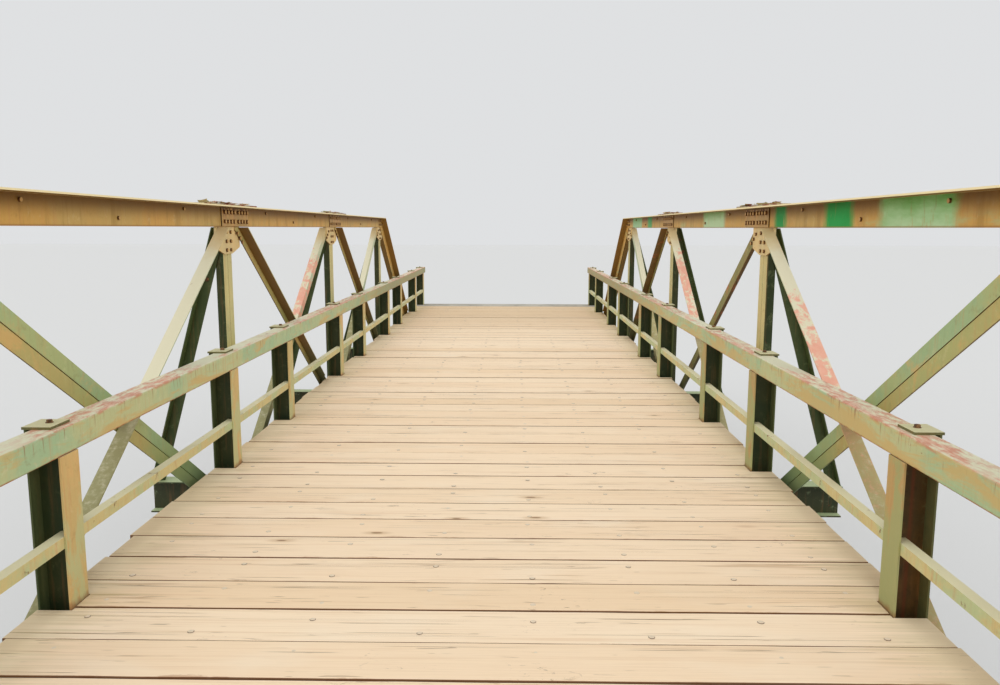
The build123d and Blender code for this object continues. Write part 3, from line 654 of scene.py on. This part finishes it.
def steel_material(name, bright, dark, roughness=0.6):
    """Bolts, nuts and plates: rusty steel with rubbed high spots."""
    paint = Paint(name, roughness=roughness)
    mottle = paint.noise(45.0, 6.0, 0.7)
    return paint.finish(paint.mix(paint.step(mottle, 0.36, 0.64), dark, bright), mottle, STEEL_RELIEF)


def painted_bolt_material():
    """Painted nuts and heads: the steel's ochre on their ends, rusty round their sides and darkened there as
    painted shade.
    """
    paint = Paint("painted_bolt")
    mottle = paint.noise(45.0, 6.0, 0.7)
    sides = paint.mix(paint.step(mottle, 0.36, 0.64), (74, 44, 22), (116, 78, 42))
    # Painted shade: the sides stay dark rust brown, and only the ends facing across the bridge take the ochre
    return paint.finish(paint.lay(sides, (196, 156, 96), paint.facing("X")), mottle, STEEL_RELIEF)


def nail_material():
    """Broad nail heads, worn bright on top with a dark rim of painted shade."""
    paint = Paint("nail_steel", roughness=0.5)
    mottle = paint.noise(60.0, 5.0, 0.7)
    bright = paint.mix(mottle, (214, 194, 166), (244, 226, 200))
    # Painted shade: all but the flat crown of each head takes the dark rim colour
    crown = paint.step(paint.normal["Z"], 0.90, 0.96)
    return paint.finish(paint.mix(crown, (140, 116, 92), bright), mottle, NAIL_RELIEF)


# Looks that are old paint alone, with the values that weathered takes
PLAIN_PAINTS = {
    "mid_rail": ((214, 200, 144), (192, 204, 158), (226, 220, 180), (176, 108, 56), 0.60, 0.40, 2.2),
    # Cap plates: edges dark olive as painted shade, the top pale from weathered's painted light
    "cap": ((108, 104, 62), (120, 116, 72), (208, 202, 160), (70, 50, 30), 0.45, 0.3, 5.0),
    "gusset": ((232, 204, 146), (222, 202, 150), (226, 208, 162), (150, 112, 62), 0.25, 0.30, 2.4),
    "top_plate": ((150, 84, 56), (186, 178, 144), (196, 150, 116), (80, 44, 28), 1.2, 0.8, 6.0),
    # Floor steel: dark green paint darkened further as painted shade, with a pale top of painted light
    "floor_steel": ((52, 62, 34), (64, 68, 40), (182, 196, 150), (36, 40, 26), 0.4, 0.2, 1.5),
}

MATERIALS = {
    "deck": deck_material(),
    "rail": rail_material(),
    "post": post_material(),
    "chord": chord_material(),
    "vertical": vertical_material(),
    "double": double_material(),
    "rising": rising_material(),
    "falling": falling_material(),
    "outrigger": outrigger_material(),
    "concrete": concrete_material(),
    "splice": splice_material(),
    "flake": flake_material(),
    **{look: plain_paint(look + "_paint", *values) for look, values in PLAIN_PAINTS.items()},
    "bearing": steel_material("bearing_steel", (120, 82, 56), (66, 44, 32), 0.75),
    "bolt": steel_material("bolt_steel", (140, 100, 62), (64, 40, 24)),
    "painted_bolt": painted_bolt_material(),
    "nail": nail_material(),
}

# The finish of each CAD node, by the words its name ends with; the others are floor steel
NODE_LOOKS = {
    "top_rails": "rail",
    "mid_rails": "mid_rail",
    "rail_posts": "post",
    "post_caps": "cap",
    "top_chord": "chord",
    "end_posts": "chord",
    "verticals": "vertical",
    "double_diagonals": "double",
    "rising_diagonals": "rising",
    "falling_diagonals": "falling",
    "top_gussets": "gusset",
    "chord_splices": "splice",
    "chord_top_plates": "top_plate",
    "outriggers": "outrigger",
    "abutment": "concrete",
    "bearing_plates": "bearing",
}


def dress_nodes():
    """Give each CAD node its finish."""
    for name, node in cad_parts.items():
        looks = [look for ending, look in NODE_LOOKS.items() if name.endswith(ending)]
        node.data.materials.clear()
        node.data.materials.append(MATERIALS[looks[0] if looks else "floor_steel"])


def add_piece(name, mesh_maker, look, slot_name, *side):
    """A new piece that rides on the bridge, made for one side where a side is given."""
    shape = bmesh.new()
    mesh_maker(shape, *side)
    bmesh.ops.recalc_face_normals(shape, faces=shape.faces)
    mesh = bpy.data.meshes.new(name)
    shape.to_mesh(mesh)
    shape.free()
    mesh.materials.append(MATERIALS[look])
    piece = bpy.data.objects.new(name, mesh)
    bpy.context.scene.collection.objects.link(piece)
    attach(piece, "root")
    return piece


def rail_post_places():
    """Distances of the railing posts along the bridge."""
    half = [POST_AFTER]
    for bay in range(1, INNER_BAYS + 2):
        half += [bay * PANEL - POST_BEFORE, bay * PANEL + POST_AFTER]
    return [-y for y in half] + half


def board_rows():
    """Start and end of each plank's row along the bridge, cut at the deck's ends."""
    first = BOARD_JOINT - BOARD_PITCH * math.ceil((BOARD_JOINT + DECK_HALF_LENGTH) / BOARD_PITCH)
    count = math.ceil((DECK_HALF_LENGTH - first) / BOARD_PITCH)
    return [(max(first + number * BOARD_PITCH, -DECK_HALF_LENGTH),
             min(first + (number + 1) * BOARD_PITCH, DECK_HALF_LENGTH)) for number in range(count)]


# The notches round the posts, and the least width that one takes off a board
NOTCH_HALF_WIDTH = 0.080
NOTCH_FACE = POST_FACE - 0.004
NOTCH_LEAST = 0.002

# How far a plank's ends, edges and top stray from a straight board
BOARD_OVERHANG = 0.004
BOARD_SHORTER = 0.028
BOARD_WAVE = 0.0016
BOARD_WAVY_SHARE = 0.98
BOARD_STATIONS = 14
BOARD_LIFT = (-0.0035, 0.0015)
BOARD_TILT = 0.004
BOARD_CHAMFER = 0.005


def end_outline(side, low, high, reach, notches):
    """Points of a board's end from its low edge to its high edge, stepping in round a post."""
    points = [(reach, low), (reach, high)]
    for notch_low, notch_high in notches:
        cut_low, cut_high = max(low, notch_low), min(high, notch_high)
        if cut_high - cut_low < NOTCH_LEAST:
            continue
        if cut_low <= low:
            points[0:1] = [(NOTCH_FACE, low), (NOTCH_FACE, cut_high), (reach, cut_high)]
        elif cut_high >= high:
            points[-1:] = [(reach, cut_low), (NOTCH_FACE, cut_low), (NOTCH_FACE, high)]
        else:
            points[1:1] = [(reach, cut_low), (NOTCH_FACE, cut_low), (NOTCH_FACE, cut_high), (reach, cut_high)]
    return [(side * x, y) for x, y in points]


def wavy_edge(y, heading):
    """Points of a board's edge between the notches, from left to right or back."""
    half_length = NOTCH_FACE * BOARD_WAVY_SHARE
    return [(heading * (2 * half_length * step / BOARD_STATIONS - half_length),
             y + dice.uniform(-BOARD_WAVE, BOARD_WAVE)) for step in range(BOARD_STATIONS + 1)]


def make_boards(shape):
    """The planks, each with its own length, tilt and slightly wavy edges, notched round the posts."""
    notches = [(y - NOTCH_HALF_WIDTH, y + NOTCH_HALF_WIDTH) for y in rail_post_places()
               if abs(y) < DECK_HALF_LENGTH]
    for start, end in board_rows():
        low, high = start + BOARD_GAP / 2, end - BOARD_GAP / 2
        reach = [DECK_HALF_WIDTH + BOARD_OVERHANG - dice.random() ** 2 * BOARD_SHORTER for _ in range(2)]
        right = end_outline(1, low, high, reach[0], notches)
        left = end_outline(-1, low, high, reach[1], notches)[::-1]
        outline = wavy_edge(low, 1) + right + wavy_edge(high, -1) + left
        lift = dice.uniform(*BOARD_LIFT)
        tilt = dice.uniform(-BOARD_TILT, BOARD_TILT)
        corners = [shape.verts.new((x, y, DECK_TOP + lift + tilt * (y - (low + high) / 2)))
                   for x, y in outline]
        top = shape.faces.new(corners)
        made = bmesh.ops.extrude_face_region(shape, geom=[top])["geom"]
        moved = [item for item in made if isinstance(item, bmesh.types.BMVert)]
        bmesh.ops.translate(shape, verts=moved, vec=(0, 0, -DECK_THICKNESS))
        bmesh.ops.bevel(shape, geom=top_rim(corners), offset=BOARD_CHAMFER, segments=2,
                        affect="EDGES", profile=0.6)


def top_rim(corners):
    """The edges that join neighbouring points of a closed outline."""
    rim = []
    for here, there in zip(corners, corners[1:] + corners[:1]):
        rim += [edge for edge in here.link_edges if there in edge.verts]
    return rim


def turned(profile, sides):
    """Points and faces of a solid turned about Z, from (radius, height) pairs, closed at the top."""
    points, faces = [], []
    for radius, height in profile:
        points += [(radius * math.cos(math.tau * k / sides), radius * math.sin(math.tau * k / sides), height)
                   for k in range(sides)]
    for ring in range(len(profile) - 1):
        for k in range(sides):
            here, there = ring * sides, (ring + 1) * sides
            following = (k + 1) % sides
            faces.append((here + k, here + following, there + following, there + k))
    top = (len(profile) - 1) * sides
    faces.append(tuple(range(top, top + sides)))
    return points, faces


WASHER = turned([(0.024, 0.0), (0.024, 0.003), (0.018, 0.0032)], 12)
NUT = turned([(0.0195, 0.0), (0.0195, 0.017), (0.0165, 0.0195)], 6)
BOLT_HEAD = turned([(0.0195, 0.0), (0.0195, 0.013), (0.0165, 0.0155)], 6)
RIVET = turned([(0.019, 0.0), (0.0175, 0.006), (0.013, 0.0105), (0.006, 0.013)], 12)
NAIL = turned([(0.0155, 0.0), (0.0130, 0.0018), (0.0070, 0.0028), (0.0025, 0.0030)], 14)


def stamp(shape, forms, place, facing, scale):
    """Set turned solids on a surface at a place, their axis along facing, turned at random about it."""
    turn = Vector(facing).to_track_quat("Z", "Y").to_matrix().to_4x4()
    spin = Matrix.Rotation(dice.uniform(0, math.tau), 4, "Z")
    matrix = Matrix.Translation(place) @ turn @ spin @ Matrix.Scale(scale, 4)
    for points, faces in forms:
        corners = [shape.verts.new(matrix @ Vector(point)) for point in points]
        for face in faces:
            shape.faces.new([corners[k] for k in face])


def stamp_pair(shape, side, y, z, inner, outer, skins, scale):
    """Turned solids on both faces of a truss, over skins of given thickness on the gusset."""
    stamp(shape, inner, (side * (GUSSET_FACE - skins[0]), y, z), (-side, 0, 0), scale)
    stamp(shape, outer, (side * (GUSSET_BACK + skins[1]), y, z), (side, 0, 0), scale)


# Bolts of the top gussets at verticals and bars: along the bridge, and down from the chord
BOLT_COLUMNS = (-0.047, 0.047)
BOLT_DROPS = (0.041, 0.112, 0.180)
BAR_RUNS = (0.177, 0.235, 0.285)
BAR_DROPS = (0.050, 0.090, 0.125)
GUSSET_BOLT_SIZE = 0.75


def make_gusset_bolts(shape, side):
    """Nuts and heads on both faces of the top gussets, at the verticals and at the bars' ends."""
    def pair(y, drop, skins):
        stamp_pair(shape, side, y, CHORD_BOTTOM - drop, (NUT,), (BOLT_HEAD,), skins, GUSSET_BOLT_SIZE)

    for y in INNER_POINTS:
        for column in BOLT_COLUMNS:
            for drop in BOLT_DROPS:
                pair(y + column, drop, (0.0, BAR_SKIN))
        for heading in (-1, 1):
            if heading * y >= INNER_POINTS[-1]:
                continue
            skins = (BAR_SKIN, 0.0) if bar_inside(side, y, heading) else (0.0, BAR_SKIN)
            for run, drop in zip(BAR_RUNS, BAR_DROPS):
                pair(y + heading * run, drop, skins)


def bar_inside(side, y, heading):
    """Whether the single bar that leaves a top panel point lies on the deck side of its gusset."""
    bay = abs(y) / PANEL
    if bay == 0:
        return False
    falling_away = heading * y > 0
    if falling_away:
        return side < 0 or bay > 1.5
    return bay < 1.5 or (side > 0 and bay < 2.5)


# Bolts of the top chord at the panel points, and single ones at shares of each bay
CHORD_COLUMNS = (-0.15, -0.05, 0.05, 0.15)
CHORD_ROWS = (0.045, 0.105)
CHORD_BOLT_SIZE = 0.80
STITCH_SHARES = (0.262, 0.511, 0.762)
STITCH_ROWS = (0.118, 0.046, 0.118)
STITCH_BOLT_SIZE = 0.62

# The chord's splices: their panel points, counted from the middle, and their bolts
SPLICED_BAYS = (1, 2)
SPLICE_OFFSET = 0.140
SPLICE_MIDDLES = [end * (bay * PANEL + SPLICE_OFFSET) for bay in SPLICED_BAYS for end in (-1, 1)]
SPLICE_BOLTS = (-0.258, -0.188, -0.118, -0.048, 0.048, 0.118, 0.188, 0.258)
SPLICE_ROWS = (0.040, 0.112)
SPLICE_BOLT_SIZE = 0.85


def make_chord_bolts(shape, side):
    """Nuts on the splice plates, bolts over the gussets, and single stitch bolts high and low between."""
    inner, outer = side * (GUSSET_FACE - CHORD_SKIN), side * (GUSSET_BACK + CHORD_SKIN)
    for bay in range(-INNER_BAYS, INNER_BAYS + 1):
        for row in CHORD_ROWS:
            for column in CHORD_COLUMNS:
                y, z = bay * PANEL + column, CHORD_BOTTOM + row
                if abs(bay) not in SPLICED_BAYS:
                    stamp(shape, (NUT,), (inner, y, z), (-side, 0, 0), CHORD_BOLT_SIZE)
                stamp(shape, (RIVET,), (outer, y, z), (side, 0, 0), CHORD_BOLT_SIZE)
    for middle in SPLICE_MIDDLES:
        for row in SPLICE_ROWS:
            for run in SPLICE_BOLTS:
                place = (side * SPLICE_FACE, middle + run, CHORD_BOTTOM + row)
                stamp(shape, (NUT,), place, (-side, 0, 0), SPLICE_BOLT_SIZE)
    for bay in range(-INNER_BAYS, INNER_BAYS):
        for share, row in zip(STITCH_SHARES, STITCH_ROWS):
            stamp_pair(shape, side, (bay + share) * PANEL, CHORD_BOTTOM + row, (NUT,), (BOLT_HEAD,),
                       (CHORD_SKIN, CHORD_SKIN), STITCH_BOLT_SIZE)


FILLER_HALF_WIDTH = 0.0032
FILLER_INSET = 0.002

# The filler's section, as (depth behind the vertical's face, distance along the bridge)
FILLER_SECTION = (
    (0.0012, -FILLER_HALF_WIDTH),
    (0.0004, 0.0),
    (0.0012, FILLER_HALF_WIDTH),
    (0.0080, FILLER_HALF_WIDTH),
    (0.0080, -FILLER_HALF_WIDTH),
)


def make_vertical_fillers(shape, side):
    """The narrow filler strips between the two angles of each vertical, crowned towards the walkway."""
    low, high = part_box("right_verticals")
    levels = (low.z + FILLER_INSET, (low.z + high.z) / 2, high.z - FILLER_INSET)
    count = len(FILLER_SECTION)
    for y in INNER_POINTS:
        rings = [[shape.verts.new((side * (low.x + depth), y + along, z))
                  for depth, along in FILLER_SECTION] for z in levels]
        for below, above in zip(rings, rings[1:]):
            for k in range(count):
                following = (k + 1) % count
                shape.faces.new((below[k], below[following], above[following], above[k]))
        shape.faces.new(rings[0])
        shape.faces.new(rings[-1])


CAP_NUT_INSET = 0.055
CAP_NUT_ALONG = 0.012
CAP_NUT_SIZE = 0.72


def make_cap_nuts(shape):
    """One nut on each post cap, over the rail."""
    for side in SIDES.values():
        for y in rail_post_places():
            place = (side * (cap_low.x + CAP_NUT_INSET), y + CAP_NUT_ALONG, cap_high.z)
            stamp(shape, (WASHER, NUT), place, (0, 0, 1), CAP_NUT_SIZE)


# Nails: shares of a plank's width, how far they stray, their depth and sizes
NAIL_SHARES = (0.22, 0.70)
NAIL_STRAY_X = 0.012
NAIL_STRAY_Y = 0.014
NAIL_DEPTH = 0.0015
NAIL_SIZES = (0.85, 1.03)


def make_nails(shape):
    """One broad nail head over every nailing line in each plank, stepped from line to line."""
    for number, (low, high) in enumerate(board_rows()):
        for line, x in enumerate(NAIL_LINES):
            share = NAIL_SHARES[(line + number // 2) % 2]
            x += dice.uniform(-NAIL_STRAY_X, NAIL_STRAY_X)
            y = low + (high - low) * share + dice.uniform(-NAIL_STRAY_Y, NAIL_STRAY_Y)
            stamp(shape, (NAIL,), (x, y, DECK_TOP - NAIL_DEPTH), (0, 0, 1), dice.uniform(*NAIL_SIZES))


# Bolts of the bottom gussets: distances up each bar, and rivets along the chord
LOWER_BAR_RUNS = (0.23, 0.31, 0.39)
LOWER_COLUMNS = (-0.16, -0.05, 0.05, 0.16)
LOWER_ROW = 0.045
LOWER_BOLT_SIZE = 0.80


def make_lower_bolts(shape, side):
    """Bolts of the bottom gussets, on both faces, at the bars that end there and along the chord."""
    def pair(y, z, forms, skin):
        stamp_pair(shape, side, y, z, forms, forms, (skin, skin), LOWER_BOLT_SIZE)

    for y in INNER_POINTS:
        for heading in (-1, 1):
            for run in LOWER_BAR_RUNS:
                along, up = PANEL / BAR_LENGTH * run, NODE_HEIGHT / BAR_LENGTH * run
                pair(y + heading * along, BOTTOM_NODE + up, (WASHER, NUT), BAR_SKIN)
        for column in LOWER_COLUMNS:
            pair(y + column, bottom_low.z + LOWER_ROW, (RIVET,), CHORD_SKIN)


# The outriggers' line from the bracket's end to the top chord, and bolts at shares of it
OUTRIGGER_HEAD_OFFSET = 0.045
OUTRIGGER_FOOT_INSET = 0.060
OUTRIGGER_SHARES = (0.80, 0.86, 0.93)
OUTRIGGER_BOLT_SIZE = 0.75


def make_outrigger_bolts(shape, side):
    """Three bolts that hold each outrigger's head to the vertical's stem."""
    foot = Vector((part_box("right_floor_brackets")[1].x - OUTRIGGER_FOOT_INSET, 0, BEAM_TOP))
    head = Vector((GUSSET_BACK + OUTRIGGER_HEAD_OFFSET, 0, CHORD_BOTTOM))
    for y in INNER_POINTS:
        way = 1 if y < 0 else -1
        face = y + way * (VERTICAL_HALF_GAP + VERTICAL_SKIN + OUTRIGGER_SKIN)
        for share in OUTRIGGER_SHARES:
            spot = foot.lerp(head, share)
            stamp(shape, (WASHER, NUT), (side * spot.x, face, spot.z), (0, way, 0), OUTRIGGER_BOLT_SIZE)


# The heap of flakes on each top plate, its reach in shares of its length
FLAKES_EACH = 14
HEAP_LENGTH = 0.90
HEAP_REACH = (-0.30, 0.55)
HEAP_ACROSS = (GUSSET_FACE - 0.065, GUSSET_BACK + 0.050)

# Limits of a flake's sizes, turn, rim and level, and its curl
FLAKE_HALF_LENGTH = (0.04, 0.10)
FLAKE_HALF_WIDTH = (0.020, 0.038)
FLAKE_TURN = 0.35
FLAKE_RIM = (-0.22, 0.08)
FLAKE_LEVEL = (0.002, 0.012)
FLAKE_CELLS = (7, 4)
FLAKE_LIFT = 0.011
FLAKE_RIPPLE = 0.003
FLAKE_THICKNESS = 0.003


def make_flakes(shape, side):
    """Warped scales of rust that lie in a heap on each splice's top plate."""
    for middle in SPLICE_MIDDLES:
        toward = -1 if middle > 0 else 1
        for _ in range(FLAKES_EACH):
            along = middle + toward * dice.uniform(*HEAP_REACH) * HEAP_LENGTH
            across = side * dice.uniform(*HEAP_ACROSS)
            half_length = dice.uniform(*FLAKE_HALF_LENGTH)
            add_flake(shape, across, along, half_length, dice.uniform(*FLAKE_HALF_WIDTH))


def add_flake(shape, across, along, half_length, half_width):
    """One curled scale with a ragged rim, lying on the top plate."""
    turn = dice.uniform(-FLAKE_TURN, FLAKE_TURN)
    curls = [dice.uniform(-1, 1) for _ in range(4)]
    base = TOP_PLATE_TOP + dice.uniform(*FLAKE_LEVEL)
    columns, rows = FLAKE_CELLS
    corners = []
    for column in range(columns + 1):
        for row in range(rows + 1):
            u, v = 2 * column / columns - 1, 2 * row / rows - 1
            rim = column in (0, columns) or row in (0, rows)
            grow = 1 + (dice.uniform(*FLAKE_RIM) if rim else 0)
            x, y = v * half_width * grow, u * half_length * grow
            rise = FLAKE_LIFT * (0.5 * (u + curls[0]) ** 2 * abs(curls[1]) + 0.4 * (v * curls[2] + 0.4) ** 2)
            rise += FLAKE_RIPPLE * math.sin(5 * u + 9 * curls[3]) * v
            corners.append(shape.verts.new((across + x * math.cos(turn) - y * math.sin(turn),
                                            along + x * math.sin(turn) + y * math.cos(turn),
                                            base + max(rise, 0.0))))
    faces = []
    for column in range(columns):
        for row in range(rows):
            here = column * (rows + 1) + row
            there = here + rows + 1
            faces.append(shape.faces.new([corners[k] for k in (here, there, there + 1, here + 1)]))
    # The new faces have no normals yet, so both sides come out in one place
    bmesh.ops.solidify(shape, geom=faces, thickness=FLAKE_THICKNESS)


# The suns, as (name, strength, turn about X, Y and Z in degrees), and the world's colour
SUNS = (
    ("soft_sun", 0.6, (24, -8, 0)),
    ("left_fill", 0.45, (28, -62, 0)),
    ("right_fill", 0.45, (28, 62, 0)),
)
SUN_WIDTH = math.radians(35)
WORLD_COLOUR = (0.74, 0.75, 0.76, 1)


def make_light_rig():
    """A high soft sun, two low fills that light the inner sides, and a plain pale world."""
    for name, strength, degrees in SUNS:
        light = bpy.data.lights.new(name, "SUN")
        light.energy = strength
        light.angle = SUN_WIDTH
        lamp = bpy.data.objects.new(name, light)
        lamp.rotation_euler = [math.radians(angle) for angle in degrees]
        bpy.context.scene.collection.objects.link(lamp)
    world = bpy.data.worlds.new("studio")
    bpy.context.scene.world = world
    world.use_nodes = True
    background = world.node_tree.nodes["Background"]
    background.inputs["Color"].default_value = WORLD_COLOUR
    background.inputs["Strength"].default_value = 1.0


FLOOR_SIZE = 400
FLOOR_SEEN = (0.70, 0.70, 0.69, 1)
FLOOR_UNSEEN = (0.46, 0.455, 0.44, 1)


def make_floor():
    """The plain pale floor; it is darker only for the light that it throws back on the bridge."""
    bpy.ops.mesh.primitive_plane_add(size=FLOOR_SIZE, location=(0, 0, 0))
    floor = bpy.context.object
    floor.name = "studio_floor"
    paint = Paint("studio_floor", roughness=0.9, specular=0.1)
    path = paint.tree.nodes.new("ShaderNodeLightPath")
    seen = paint.math("MAXIMUM", path.outputs["Is Camera Ray"], path.outputs["Is Glossy Ray"])
    seen = paint.math("MAXIMUM", seen, path.outputs["Is Transmission Ray"])
    floor.data.materials.append(paint.finish(paint.mix(seen, FLOOR_UNSEEN, FLOOR_SEEN)))


def make_camera():
    """The photograph's view, from above the walkway."""
    camera = bpy.data.objects.new("photo_camera", bpy.data.cameras.new("photo_camera"))
    camera.data.lens = CAMERA_LENS
    camera.data.sensor_width = CAMERA_SENSOR
    camera.data.clip_end = CAMERA_REACH
    turn = Matrix.Rotation(CAMERA_YAW, 4, "Z") @ Matrix.Rotation(math.radians(90) - CAMERA_PITCH, 4, "X")
    camera.matrix_world = Matrix.Translation(CAMERA_PLACE) @ turn @ Matrix.Rotation(CAMERA_ROLL, 4, "Z")
    bpy.context.scene.collection.objects.link(camera)
    bpy.context.scene.camera = camera


# Pieces that each side has, as (name, maker, look, slot)
SIDE_PIECES = (
    ("gusset_bolts", make_gusset_bolts, "painted_bolt", "truss_paint"),
    ("chord_bolts", make_chord_bolts, "painted_bolt", "truss_paint"),
    ("vertical_fillers", make_vertical_fillers, "vertical", "truss_paint"),
    ("splice_flakes", make_flakes, "flake", "truss_paint"),
    ("lower_bolts", make_lower_bolts, "bolt", "under_floor_paint"),
    ("outrigger_bolts", make_outrigger_bolts, "painted_bolt", "under_floor_paint"),
)

dress_nodes()
boards = add_piece("deck_boards", make_boards, "deck", "deck_timber")
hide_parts("deck")
add_piece("deck_nails", make_nails, "nail", "bearing_steel")
add_piece("post_cap_nuts", make_cap_nuts, "bolt", "rail_paint")
for side_name, side in SIDES.items():
    for name, mesh_maker, look, slot_name in SIDE_PIECES:
        add_piece(side_name + "_" + name, mesh_maker, look, slot_name, side)
make_floor()
make_light_rig()
make_camera()
bpy.context.scene.view_settings.view_transform = "Standard"
